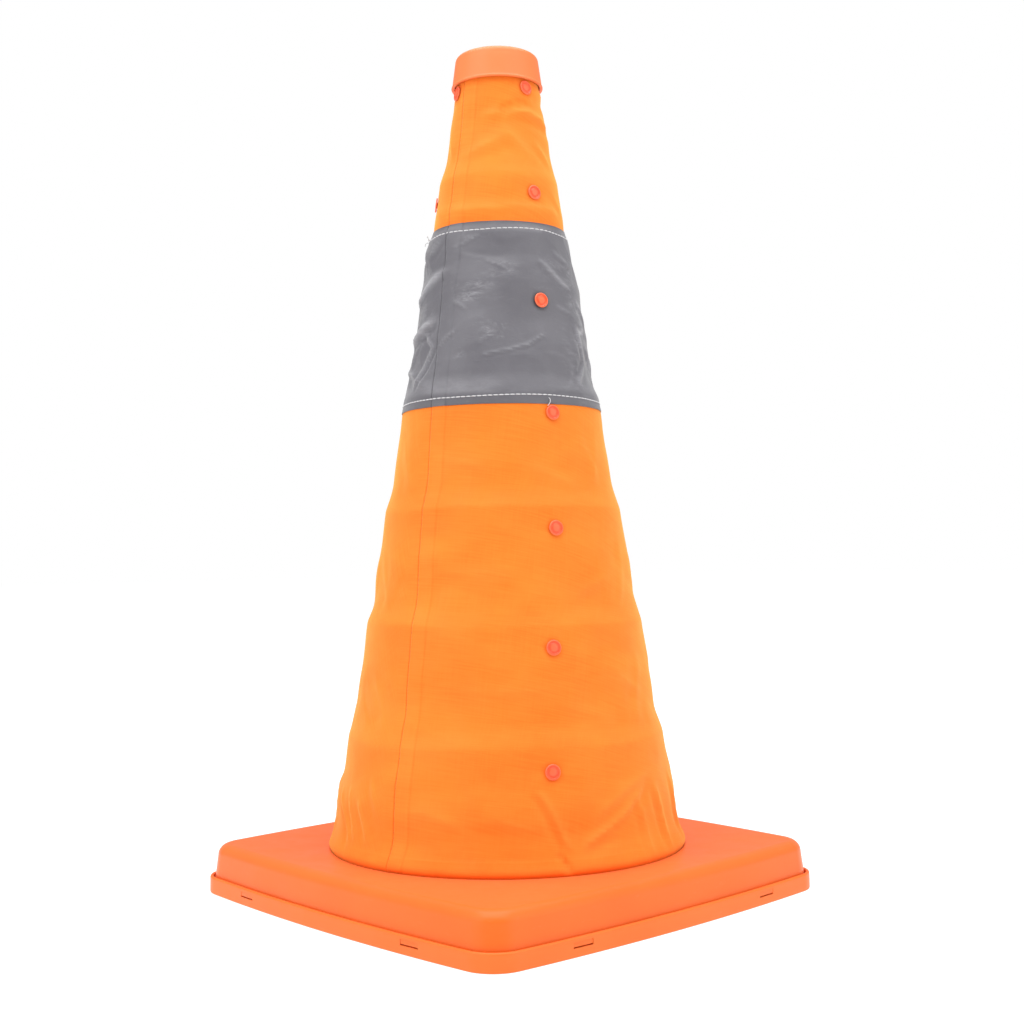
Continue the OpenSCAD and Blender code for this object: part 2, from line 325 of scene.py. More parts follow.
def steel(name):
    n = Nodes(name)
    here = n.coords()
    brushed = n.noise(n.coords((1, 1, 14)), 320, 3)
    base = n.mix(n.span(brushed, 0.3, 0.7), (0.42, 0.42, 0.44), (0.66, 0.66, 0.68))
    r = n.span(n.noise(here, 240, 3), 0.3, 0.7, 0.24, 0.42)
    return n.finish(base, r, n.bump(brushed, 0.00003, 0.5), Metallic=1.0)


def weave_height(n, uv, pitch):
    """Plain weave: warp and weft take turns to lie on top."""
    split = n.new("ShaderNodeSeparateXYZ")
    n.wire(n.coords((2 * math.pi / pitch,) * 3, uv=uv), split.inputs[0])
    return n.times(n.math("SINE", split.outputs[0]), n.math("SINE", split.outputs[1]))


def fabric(name):
    """Coated orange polyester: plain weave, slubs along both yarns, painted highlights on crests and
    creases, painted shade in hollows.
    """
    n = Nodes(name)
    here = n.coords()
    warp = n.noise(n.coords((22, 1, 1), uv="weave"), 42, 3)
    weft = n.noise(n.coords((1, 34, 1), uv="weave"), 42, 3)
    streak = n.math("ADD", n.times(warp, 0.3), n.times(weft, 0.7))
    cloud = n.noise(n.coords((1, 1, 2.2)), 17, 5, 0.6)
    tone = n.math("ADD", n.times(streak, 0.5), n.times(cloud, 0.5))
    base = n.mix(n.span(tone, 0.40, 0.60), (0.92, 0.186, 0.013), (0.94, 0.238, 0.023))
    # Painted highlight where crests, ridges and the seam allowance face the light, then painted shade in
    # hollows, grooves and under edges
    base = n.mix(n.span(n.attribute("painted_highlight"), 0.0, 1.0, 0.0, 0.5), base, (0.94, 0.31, 0.052))
    base = n.mix(n.span(n.attribute("shade"), 0.0, 1.0, 0.0, 0.5), base, (0.75, 0.12, 0.010))
    weave = weave_height(n, "weave", 0.00062)
    normal = n.bump(weave, 0.00004, 0.22, n.bump(streak, 0.00018, 0.30))
    r = n.span(n.noise(here, 60, 3), 0.3, 0.7, 0.62, 0.76)
    return n.finish(base, r, normal, Specular_IOR_Level=0.22, Sheen_Weight=0.6,
                    Sheen_Roughness=0.42, Sheen_Tint=(1.0, 0.72, 0.20, 1.0))


def reflective(name):
    """Grey reflective tape: glass-bead grain, rubbed pale patches with painted light on a fold at its
    right edge, painted highlights along its creases, and painted shade.
    """
    n = Nodes(name)
    here = n.coords()
    cloud = n.noise(here, 24, 5, 0.6)
    base = n.mix(n.span(cloud, 0.32, 0.68), (0.112, 0.107, 0.122), (0.140, 0.135, 0.151))
    streaks = n.noise(n.coords((1, 1, 3.0), turn=(0.35, 0.25, 0)), 95, 8, 0.74, 0.4)
    patch = n.span(n.noise(here, 40, 6, 0.7, 0.5), 0.46, 0.66)
    # Pale patches: rubbed wear, and on the right edge painted light where a fold faces the lamps
    rub = n.times(n.attribute("rub"), n.times(patch, n.span(streaks, 0.44, 0.68)))
    base = n.mix(n.times(rub, 0.78), base, (0.48, 0.475, 0.50))
    faint = n.times(n.span(streaks, 0.58, 0.76), 0.10)
    base = n.mix(faint, base, (0.40, 0.40, 0.42))
    # Painted highlight along the tape's creases, broken up by the streaks
    painted_highlight = n.attribute("painted_highlight")
    painted_crease_highlight = n.math("MULTIPLY", painted_highlight, n.span(streaks, 0.3, 0.7, 0.45, 1.0), clamp=True)
    base = n.mix(painted_crease_highlight, base, (0.46, 0.455, 0.48))
    # Painted shade from the shade mark, in grooves and round the rivet heads
    base = n.mix(n.span(n.attribute("shade"), 0.0, 1.0, 0.0, 0.85), base, (0.035, 0.034, 0.04))
    beads = n.noise(here, 4200, 1)
    wrinkle = n.noise(n.coords((1, 1, 1.4)), 120, 5, 0.65, 0.8)
    normal = n.bump(beads, 0.00003, 0.5, n.bump(wrinkle, 0.0006, 0.35))
    r = n.span(cloud, 0.3, 0.7, 0.42, 0.56)
    return n.finish(base, r, normal, Specular_IOR_Level=0.5, Sheen_Weight=0.32, Sheen_Roughness=0.4)


def thread(name, colour):
    n = Nodes(name)
    here = n.coords()
    twist = n.noise(n.coords((1, 1, 2)), 1400, 2)
    base = n.mix(n.span(twist, 0.35, 0.65), tuple(c * 0.8 for c in colour), colour)
    r = n.span(n.noise(here, 600, 2), 0.3, 0.7, 0.6, 0.8)
    return n.finish(base, r, n.bump(twist, 0.0001, 0.6), Specular_IOR_Level=0.3, Sheen_Weight=0.3)


def rivet_plastic(name):
    """Glossier moulded plastic, with a painted highlight on the head's rounded rim and on the top of its
    dome.
    """
    n = Nodes(name)
    here = n.coords()
    base = n.mix(n.span(n.noise(here, 300, 3), 0.3, 0.7), (0.86, 0.088, 0.026), (0.90, 0.110, 0.036))
    # Painted highlight from the rim mark
    base = n.mix(n.times(n.attribute("rim"), 0.6), base, (0.95, 0.22, 0.09))
    r = n.span(n.noise(here, 500, 3), 0.3, 0.7, 0.30, 0.42)
    normal = n.bump(n.noise(here, 2400, 2), 0.00003, 0.5)
    return n.finish(base, r, normal, Specular_IOR_Level=0.4)


MAT = {
    "base": plastic("base_plastic_satin", (0.92, 0.163, 0.017), (0.89, 0.147, 0.013), spec=0.26,
                    sheen=0.12),
    "rim": plastic("tray_plastic_satin", (0.92, 0.188, 0.032), (0.89, 0.172, 0.026), spec=0.25),
    # The cap's plastic is painted lighter and pinker than the base's, to stand in for the stronger light
    # that falls on the cap
    "cap": plastic("cap_plastic_painted_lighter", (0.90, 0.216, 0.062), (0.87, 0.198, 0.053), 0.42, spec=0.4),
    "inner": plastic("inner_plastic_satin", (0.80, 0.165, 0.028), (0.74, 0.145, 0.022), 0.40, scuff=0.9),
    "steel": steel("screw_steel_brushed"),
    "fabric": fabric("sleeve_fabric_weave"),
    "band": reflective("reflective_band_beads"),
    "stitch": thread("stitch_thread_pale", (0.72, 0.71, 0.72)),
    "seam": thread("seam_thread_orange", (0.62, 0.13, 0.014)),
    "rivet": rivet_plastic("rivet_plastic_gloss"),
}


def dress(obj, material):
    obj.data.materials.clear()
    obj.data.materials.append(MAT[material])
    return obj


# ---- the base
RS0_C = (BASE_HALF - CORNER_R) / (1 + math.tan(math.radians(SIDE_TURN / 2)))
SIN_TURN = math.sin(math.radians(SIDE_TURN))
SIDE_R = (RS0_C + CORNER_R * SIN_TURN) / SIN_TURN
WINDOW_AT = math.degrees(math.asin(WINDOW_OFFSET / SIDE_R))
WINDOW_HALF = math.degrees(math.asin(WINDOW_W / 2 / SIDE_R))


def outline_angles():
    """Normal angles along one side and its corner; the snap windows' edges are among them."""
    side = set(np.round(np.arange(-SIDE_TURN, SIDE_TURN + 0.01, 0.25), 4))
    edges = [s * WINDOW_AT + e * WINDOW_HALF for s in (-1, 1) for e in (-1, 1)]
    side = {a for a in side if min(abs(a - e) for e in edges) > 0.06} | set(edges)
    return sorted(side) + list(np.arange(SIDE_TURN, 90 - SIDE_TURN, 3.2)[1:])


ANGLES = outline_angles()


def outline(inset):
    """Bowed square with round corners, inset from the base's own outline."""
    r = CORNER_R - CORNER_KEEP * inset
    c = (BASE_HALF - inset - r) / (1 + math.tan(math.radians(SIDE_TURN / 2)))
    rs = (c + r * SIN_TURN) / SIN_TURN
    quarter = []
    for a in ANGLES:
        ca, sa = math.cos(math.radians(a)), math.sin(math.radians(a))
        if a <= SIDE_TURN + 1e-6:
            quarter.append((BASE_HALF - inset - rs * (1 - ca), rs * sa))
        else:
            quarter.append((c + r * ca, c + r * sa))
    return np.concatenate([turned(quarter, 90 * q) for q in range(4)])


def flat_loop(points, z):
    return np.column_stack([points, np.full(len(points), z)])


def circle_loop(radius, z):
    """A circle whose points stand on the outline's own bearings."""
    p = outline(12.0)
    return flat_loop(p / np.linalg.norm(p, axis=1)[:, None] * radius, z)


def loops_mesh(loops, closed):
    """Points and faces through loops of the same length."""
    return np.concatenate(loops), loop_faces(len(loops), len(loops[0]), closed=closed)


def block(lo, hi, bevel):
    """A box with bevelled long edges and a bevelled outer end."""
    x0, y0, z0 = lo
    x1, y1, z1 = hi
    b = bevel
    section = [(y0 + b, z0), (y1 - b, z0), (y1, z0 + b), (y1, z1 - b), (y1 - b, z1), (y0 + b, z1),
               (y0, z1 - b), (y0, z0 + b)]
    cy, cz = (y0 + y1) / 2, (z0 + z1) / 2
    verts = []
    for x, cut in ((x0, 0), (x1 - b, 0), (x1, 2 * b)):
        fy, fz = 1 - cut / (y1 - y0), 1 - cut / (z1 - z0)
        verts += [(x, cy + (y - cy) * fy, cz + (z - cz) * fz) for y, z in section]
    return np.array(verts), rod_faces(3, len(section))


def at_window(part, q, s):
    """A part in a snap window's own frame: +X out of the rim, its face at x = 0."""
    v = turned(part[0] + np.array([SIDE_R, 0, 0]), s * WINDOW_AT)
    return turned(v + np.array([BASE_HALF - SIDE_R, 0, 0]), 90 * q), part[1]


SIDES = [(q, s) for q in range(4) for s in (-1, 1)]
BOSS_XY = 104.0
BOSSES = [(x * BOSS_XY, y * BOSS_XY) for x in (-1, 1) for y in (-1, 1)]


def cut_with(obj, cutter):
    """Takes a closed mesh out of a piece, for good."""
    cut = obj.modifiers.new("cut", "BOOLEAN")
    cut.operation = "DIFFERENCE"
    cut.solver = "EXACT"
    cut.object = cutter
    bpy.context.view_layer.update()
    done = bpy.data.meshes.new_from_object(obj.evaluated_get(bpy.context.evaluated_depsgraph_get()))
    obj.modifiers.clear()
    obj.data = done
    bpy.data.objects.remove(cutter)


def make_tray():
    window_low, window_high = 4.6, 7.6
    floor, rim_t = 2.8, 2.0
    rim = [(0.6, 0.0), (0.22, 0.25), (0.0, 0.9), (0.04, window_low), (0.07, window_high), (0.1, 8.7),
           (0.22, 9.25), (0.5, 9.65), (0.9, 9.8), (1.35, 9.8), (1.72, 9.68), (1.93, 9.4), (rim_t, 9.0),
           (rim_t, window_high), (rim_t, window_low), (rim_t, 3.7), (2.25, 3.05), (2.9, floor)]
    loops = [flat_loop(outline(0.6) * f, 0.0) for f in (0.02, 0.35, 0.7)]
    out_row, in_row = len(loops) + 3, len(loops) + 13      # the windows' rows outside and inside
    loops += [flat_loop(outline(inset), z) for inset, z in rim]
    loops += [flat_loop(outline(2.9) * f, floor) for f in (0.7, 0.35, 0.02)]
    verts, faces = loops_mesh(loops, closed=False)
    n = len(loops[0])
    # The windows: the same columns leave the outer and the inner wall, and four sides join them
    gone, sides = set(), []
    for q, s in SIDES:
        edges = [s * WINDOW_AT + e * WINDOW_HALF for e in (-1, 1)]
        c0, c1 = (q * len(ANGLES) + min(range(len(ANGLES)), key=lambda k: abs(ANGLES[k] - edge))
                  for edge in edges)
        for k in range(c0, c1):
            gone |= {out_row * n + k, in_row * n + k}
            for out, inner in ((out_row, in_row + 1), (out_row + 1, in_row)):
                sides.append((out * n + k, inner * n + k, inner * n + k + 1, out * n + k + 1))
        for c in (c0, c1):
            sides.append(tuple(row * n + c for row in (out_row, out_row + 1, in_row, in_row + 1)))
    faces = [f for k, f in enumerate(faces) if k not in gone] + sides
    verts = np.vstack([verts, [[0, 0, 0], [0, 0, floor]]])
    low, top = len(verts) - 2, len(verts) - 1
    last = (len(loops) - 1) * n
    for k in range(n):
        m = (k + 1) % n
        faces += [(low, m, k), (top, last + k, last + m)]
    obj = mesh_piece("base_tray_shell", verts, faces)
    shell = bmesh.new()
    shell.from_mesh(obj.data)
    bmesh.ops.recalc_face_normals(shell, faces=shell.faces[:])
    shell.to_mesh(obj.data)
    shell.free()
    bpy.context.view_layer.update()
    # Holes for the four base screws, with room for their heads
    v, f = lathe([(0, -1), (3.6, -1), (3.6, 1.6), (1.8, 1.6), (1.8, 4), (0, 4)], 40)
    cut_with(obj, mesh_piece("cutter", *joined([(v + np.array([x, y, 0]), f) for x, y in BOSSES])))
    return crisp(obj, 38)


def make_cover():
    foot_z, foot_inset, draft, wall = 4.8, 2.4, 0.12, 2.4
    lip_r, seat_r, seat_z = 103.75, 114.0, 22.85
    ceiling = BASE_H - wall

    def side(inset, z0, z1, radius, steps):
        lean = (z1 - radius - z0) * draft
        rows = [(inset, z0), (inset + lean * 0.5, (z0 + z1 - radius) / 2)]
        for a in np.linspace(0, math.pi / 2, steps):
            rows.append((inset + lean + radius * (1 - math.cos(a)), z1 - radius * (1 - math.sin(a))))
        return rows

    outer = side(foot_inset, foot_z, BASE_H, 6.5, 12)
    inner = side(foot_inset + wall, foot_z, ceiling, 5.5, 7)
    loops = [flat_loop(outline(i), z) for i, z in outer]
    edge = loops[-1]
    ring = circle_loop(MOUTH_R + 1.0, BASE_H)
    for f in (0.06, 0.2, 0.45, 0.7, 0.9):
        loops.append(edge * (1 - f) + ring * f)
    mouth = [(lip_r + 0.9, BASE_H), (lip_r + 0.5, BASE_H - 0.07), (lip_r + 0.15, BASE_H - 0.3),
             (lip_r, BASE_H - 0.8), (lip_r, 25.6), (MOUTH_R, 25.3), (MOUTH_R, 23.1),
             (MOUTH_R + 0.3, seat_z), (seat_r - 0.4, seat_z), (seat_r, 23.2), (seat_r, ceiling)]
    loops += [circle_loop(r, z) for r, z in mouth]
    loops += [flat_loop(outline(i), z) for i, z in reversed(inner)]
    parts = [loops_mesh(loops, closed=True)]
    a, b, c, d = (1.6, 24), (1.6, 2.9), (4.5, 2.9), (4.3, 25.8)
    boss = [a, *rounded(a, b, c, 0.3), *rounded(b, c, d, 0.4), d, (1.6, 25.8)]
    v, f = lathe(boss, 40, closed=True)
    parts += [(v + np.array([x, y, 0]), f) for x, y in BOSSES]
    hook = block((-4.2, -6.4, 5.25), (-0.25, 6.4, 7.56), 0.12)
    parts += [at_window(hook, q, s) for q, s in SIDES]
    return mesh_piece("base_cover_shell", *joined(parts), sharp=40)


# ---- the cap
def make_cap():
    low = RING_Z[1] - 7.0
    top = low + 20.0
    steps = 128
    outer = [(25.7, low + 0.15), (26.2, low), (26.95, low), (27.27, low + 0.12), (27.4, low + 0.45),
             (27.38, low + 0.85), (27.2, low + 1.25), (26.98, low + 1.55), (26.85, low + 2.0)]
    for t in (0.25, 0.5, 0.75, 1.0):
        outer.append((26.85 - t * 2.0, low + 2.0 + t * 14.5))
    outer += [(24.62, low + 17.3), (24.2, low + 18.0), (23.4, low + 18.75), (22.5, low + 19.2),
              (21.5, low + 19.4), (16, low + 19.5), (8, low + 19.5), (0, low + 19.5)]
    inner = [(0, top - 1.8), (20.6, top - 1.8), (22.3, top - 2.3), (23.0, top - 3.9), (25.45, low + 0.6)]
    shell_v, shell_f = lathe(outer, steps)
    in_v, in_f = lathe(inner, steps)
    base = len(shell_v)
    faces = list(shell_f) + [tuple(i + base for i in f) for f in in_f]
    last = base + (len(inner) - 2) * steps
    faces += [(last + k, last + (k + 1) % steps, (k + 1) % steps, k) for k in range(steps)]
    parts = [(np.vstack([shell_v, in_v]), faces)]
    spigot_r = ring_r(1) - 2.7 - 0.1
    bead_z = RING_Z[1] - 3.1 - 0.1
    parts.append(lathe([(spigot_r - 1.6, bead_z - 4), (spigot_r, bead_z - 4),
                        (ring_r(1) - 1.8, bead_z - 1.6), (ring_r(1) - 1.8, bead_z - 0.6),
                        (spigot_r, bead_z), (spigot_r, top - 1.75), (spigot_r - 1.6, top - 1.75)],
                       96, closed=True))
    v, f = block((spigot_r - 0.3, -0.8, RING_Z[1] + 0.25), (spigot_r + 3.1, 0.8, top - 1.75), 0.2)
    parts += [(turned(v, 60 * k), f) for k in range(6)]
    return mesh_piece("top_cap", *joined(parts), sharp=42)


# ---- the sleeve's surface
HUG = 0.132          # slope of the cloth along a ring's wall
KICK = 0.229         # how much steeper it runs where it steps out to the next ring
RIDGE = 0.9          # cloth's outside past a ring's top edge
HEM_TOP_Z = 37.0
HEM = [(102.45, 36.0), (103.1, 34.4), (103.8, 32.9), (104.35, 31.5), (104.6, 30.3), (104.5, 29.4),
       (104.2, 28.7), (103.8, 28.2), (103.55, 27.6), (103.5, 26.8), (103.5, 25.8), (103.5, 24.6)]


def dense_profile():
    """Radius and height of the cloth's outside, every 0.1 mm down from the top, softly rounded."""
    z = np.arange(RING_Z[1] - 0.2, HEM_TOP_Z, -0.1)
    depth = (RING_Z[1] - z) % PITCH
    past = np.where(depth > PITCH / 2, depth - PITCH, depth)
    rise = np.where(past > 0, np.where(z < RING_Z[1] - 10, 1.0, 0.0), smooth(46, 58, depth))
    slope = HUG + KICK * rise * (1 - smooth(-2.6, 1.8, past))
    r = ring_r(1) + RIDGE + np.concatenate([[0], np.cumsum(slope[:-1] * 0.1)])
    last = RING_Z[7] - z
    r = r + np.where(last > 0, 1.3 * bump(last, 35, 15) + 0.9 * smooth(42, 56, last), 0)
    r = np.concatenate([r, [p[0] for p in HEM]])
    z = np.concatenate([z, [p[1] for p in HEM]])
    w = np.concatenate([[0], np.cumsum(np.hypot(np.diff(r), np.diff(z)))])
    even = np.arange(0, w[-1], 0.1)
    r, z = np.interp(even, w, r), np.interp(even, w, z)
    soft = np.hanning(17)[1:-1]
    soft /= soft.sum()
    pad = len(soft) // 2
    r, z = (np.convolve(np.pad(v, pad, mode="reflect", reflect_type="odd"), soft, "valid")
            for v in (r, z))
    return even, r, z


W, WR, WZ = dense_profile()
W_MAX = W[-1]
DR = np.gradient(WR, W)
DZ = np.gradient(WZ, W)


def w_at(z):
    """Distance down the profile to a height above the hem."""
    return np.interp(-np.asarray(z, float), -WZ[WZ > HEM_TOP_Z - 2], W[WZ > HEM_TOP_Z - 2])


def seam_az(z):
    return -38.4 - 10.5 * np.clip((z - 32) / 411.0, 0, 1.2) ** 2.2


# Folds as (azimuth, height) to (azimuth, height), half width, height of the crest, depth beside it
FOLDS = [
    (-22, 452, 30, 455, 3.4, 0.8, 0.3), (28, 456, 78, 449, 3, 1.4, 0.6),
    (3, 456, 41, 463, 1.7, -1.7, -0.5), (-38, 428, 8, 442, 4.2, 0.9, 0.5),
    (5, 443, 38, 428, 4, 0.8, 0.5), (50, 447, 100, 441, 5.5, 0.9, 0.2),
    (55, 470, 100, 471, 3.4, 1.2, 0.5), (-78, 450, -60, 430, 3.4, 0.8, 0.5),
    (46, 438, 66, 424, 2.6, 0.7, 0.5), (-44, 397, 62, 396, 3.6, 0.75, 0.2),
    (-80, 404, -56, 396, 3, 0.6, 0.4), (58, 410, 74, 398, 2.8, 0.6, 0.4),
    (10, 71, 20, 41, 2.4, 0.8, 1), (24, 41, 50, 68, 3, 1.2, 0.7), (28, 56, 52, 76, 3.6, 0.9, 0.5),
    (-74, 64, -60, 38, 2.6, 1.1, 0.6), (-64, 66, -57, 40, 2.2, 0.7, 0.6),
    (-55, 62, -50, 40, 2.4, 0.9, 0.6), (-49, 74, -46, 56, 2.2, 0.5, 0.4),
    (58, 68, 62, 34, 2.8, 1.1, 0.7), (47, 63, 51, 32, 2.6, 0.8, 0.6),
    (75, 70, 80, 36, 3.2, 0.9, 0.6), (-92, 70, -84, 36, 3.2, 0.9, 0.6),
    (-6, 60, 12, 52, 4.5, 0.5, 0.4), (-34, 60, -14, 54, 4, 0.5, 0.3),
    (40, 104, 26, 118, 4, 0.5, 0.4), (30, 172, 50, 186, 3.6, 0.6, 0.4),
    (12, 246, 40, 236, 4, 0.5, 0.4), (-34, 250, -6, 244, 4, 0.5, 0.3),
    (-30, 190, 6, 184, 4.5, 0.5, 0.3), (-20, 122, 20, 126, 5, 0.5, 0.3),
    (44, 132, 60, 120, 3, 0.5, 0.4), (130, 66, 150, 38, 3, 1.1, 0.6),
    (170, 70, 158, 36, 3, 1, 0.6), (-150, 66, -135, 36, 3, 1.1, 0.6),
    (-120, 68, -128, 36, 2.8, 0.9, 0.6), (105, 66, 98, 36, 2.8, 0.9, 0.6),
    (-160, 450, -120, 426, 4, 0.8, 0.5), (150, 446, 110, 428, 4, 0.8, 0.5),
    (120, 468, 150, 456, 2.6, 0.8, 0.7), (-170, 200, -140, 176, 3.6, 0.7, 0.5),
    (160, 136, 130, 106, 3.4, 0.7, 0.5), (-130, 136, -108, 108, 3.4, 0.7, 0.5),
    (140, 262, 112, 238, 3.4, 0.7, 0.5),
] + [line + (4, 0.4, 0.5) for line in (
    (-60, 132, -50, 100), (62, 140, 56, 104), (-70, 196, -58, 170), (66, 204, 58, 168),
    (-66, 262, -52, 232), (64, 268, 50, 236),
)]
# The reflective band's own sharper creases, in the same form
CREASES = [
    (-86, 344, -44, 359, 3.2, 1.9, 0.7), (-82, 321, -48, 333, 3, 1.9, 0.8),
    (-63, 294, -46, 316, 1.5, 1.2, 0.7), (-58, 325, -46, 316, 1.4, 0.9, 0.6),
    (-86, 306, -64, 300, 2.4, 1.3, 0.6), (-66, 371, -48, 380, 2.2, 0.7, 0.5),
    (-80, 380, -70, 362, 1.8, 0.7, 0.5), (-41, 315, -28, 325, 1.2, 0.5, 0.4),
    (-11, 309, 5, 311, 1.1, 0.4, 0.3), (3, 310.8, 17, 314.6, 1.1, 0.4, 0.3),
    (14, 313.6, 29, 321, 1.1, 0.45, 0.3), (30, 363, 59, 350, 1.9, 0.95, 0.6),
    (44, 372, 62, 366, 1.8, 0.5, 0.5), (58, 328, 61, 306, 1.8, 0.9, 0.5),
    (61, 307, 50, 292, 1.8, 0.9, 0.5), (66, 344, 78, 330, 2.2, 0.9, 0.5),
    (70, 318, 84, 300, 2.4, 0.9, 0.5), (-38, 373, -16, 379, 1, 0.25, 0.2),
    (-11, 365, 8, 357, 1, 0.28, 0.2), (-34, 342, -22, 336, 1.3, 0.4, 0.3),
    (40, 340, 54, 334, 1.6, 0.5, 0.4), (170, 312, -160, 296, 1.6, 0.8, 0.5),
    (100, 316, 84, 296, 1.6, 0.8, 0.5),
] + [line + (1.7, 0.9, 0.6) for line in (
    (110, 372, 140, 352), (150, 340, 120, 312), (-170, 372, -140, 350), (-120, 344, -150, 318),
    (-108, 380, -96, 352), (-130, 310, -104, 292),
)]
# Where the band is rubbed pale, and the patches on the right side (azimuth 57 to 72) are painted light
# on a fold that faces it: azimuth, height, and how far each way
RUBS_AND_LIGHT_PATCHES = [
    (-20, 352, 14, 6), (-24, 345, 9, 4), (0, 360, 10, 5), (-2, 326, 12, 6), (6, 320, 16, 4),
    (-22, 311, 8, 5), (-14, 378, 12, 3), (38, 362, 10, 6), (-60, 332, 14, 12), (-70, 356, 14, 10),
    (57, 310, 13, 22), (66, 330, 10, 26), (72, 345, 12, 18), (-66, 300, 12, 10),
    (120, 350, 24, 12), (160, 320, 24, 12), (-130, 360, 24, 12), (-160, 310, 22, 12), (95, 300, 20, 10),
]


def fold(az, z, r, a0, z0, a1, z1, width, height, valley):
    """A crest along a line on the unrolled cloth, with a hollow beside it: (shape, crest alone)."""
    ra = np.radians(wrap(az - a0)) * r
    zm = (z0 + z1) / 2
    rm = np.interp(-zm, -WZ[: len(WZ) - 200], WR[: len(WZ) - 200])
    du = math.radians(wrap(a1 - a0)) * rm
    dz = z1 - z0
    length = math.hypot(du, dz)
    tx, tz = du / length, dz / length
    along = ra * tx + (z - z0) * tz
    across = -ra * tz + (z - z0) * tx
    across = across + 0.35 * width * np.sin(along / (3.1 * width) + a0)
    ends = plateau(along, -1.5 * width, 2.5 * width, length - 2.5 * width, length + 1.5 * width)
    crest = np.exp(-np.abs(across / width) ** 1.5)
    trough = np.exp(-((across + 1.7 * width) / (1.1 * width)) ** 2)
    return height * ends * (crest - valley * trough), ends * crest


BROAD = Field(11, 74, (1, 1, 0.8))
MIDDLE = Field(23, 36, (1.3, 1.3, 0.7))
SMALL = Field(37, 15, (1, 1, 1.6))
LINES = Field(53, 46, (1, 1, 0.9))
WHERE = Field(61, 60)
FACETS = Field(71, 62, (1, 1, 0.8))
FACETS2 = Field(73, 33)


def ring_below(z):
    """Which ring's wall lies under the cloth at a height: its top's height and radius."""
    i = np.clip(np.ceil((RING_Z[1] - z) / PITCH - 1e-9), 1, RINGS)
    return RING_Z[1] - (i - 1) * PITCH, ring_r(1) + (i - 1) * STEP



def rivets_of(i):
    """Azimuths of a ring's three rivets: the right one, the far one and the left one."""
    left = RIVET_LEFT[i - 1]
    return [RIVET_TURNS[i - 1] + turn for turn in (0, (360 - left) / 2, 360 - left)]


RIVETS = [(i, turn) for i in range(1, RINGS + 1) for turn in rivets_of(i)]


